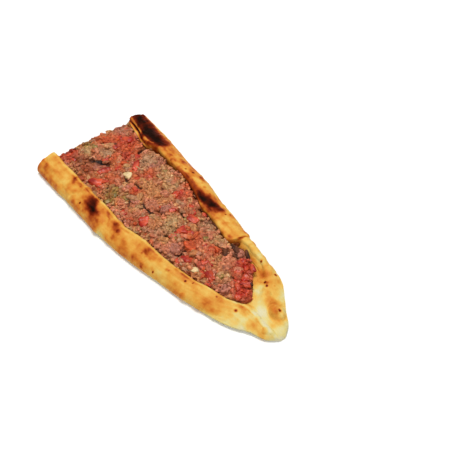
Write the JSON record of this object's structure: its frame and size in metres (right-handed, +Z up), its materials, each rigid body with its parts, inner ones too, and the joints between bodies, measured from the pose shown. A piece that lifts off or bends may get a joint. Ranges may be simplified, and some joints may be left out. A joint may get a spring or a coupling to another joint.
{
  "type": "half of a turkish pide",
  "caption": "Cut half of a boat-shaped flat bread with folded, browned rims and one pinched tip, filled with diced meat, tomato and pepper.",
  "frame": {"origin": "on the surface the pide lies on, under the middle of its bounding box", "axes": "+X from the cut end to the pinched tip, +Y across the boat to the side with the short flap, +Z up"},
  "size_m": [0.2659, 0.115, 0.0155],
  "materials": {
    "crust": "baked dough, golden and dry, with brown and black scorches",
    "filling": "diced baked meat, moist and a little oily",
    "tomato": "cooked tomato flesh and skin, wet and glossy",
    "garlic": "roasted garlic, cream coloured, satin",
    "charred_pepper": "pepper scorched black-brown at its edges"
  },
  "bodies": {
    "root": {"crust": "crust", "filling": "filling", "tomato_1": "tomato", "tomato_2": "tomato", "tomato_3": "tomato", "tomato_4": "tomato", "tomato_5": "tomato", "tomato_6": "tomato", "tomato_7": "tomato", "tomato_8": "tomato", "tomato_9": "tomato", "tomato_10": "tomato", "tomato_11": "tomato", "tomato_12": "tomato", "garlic_1": "garlic", "garlic_2": "garlic", "charred_pepper_1": "charred_pepper"}
  },
  "joints": []
}
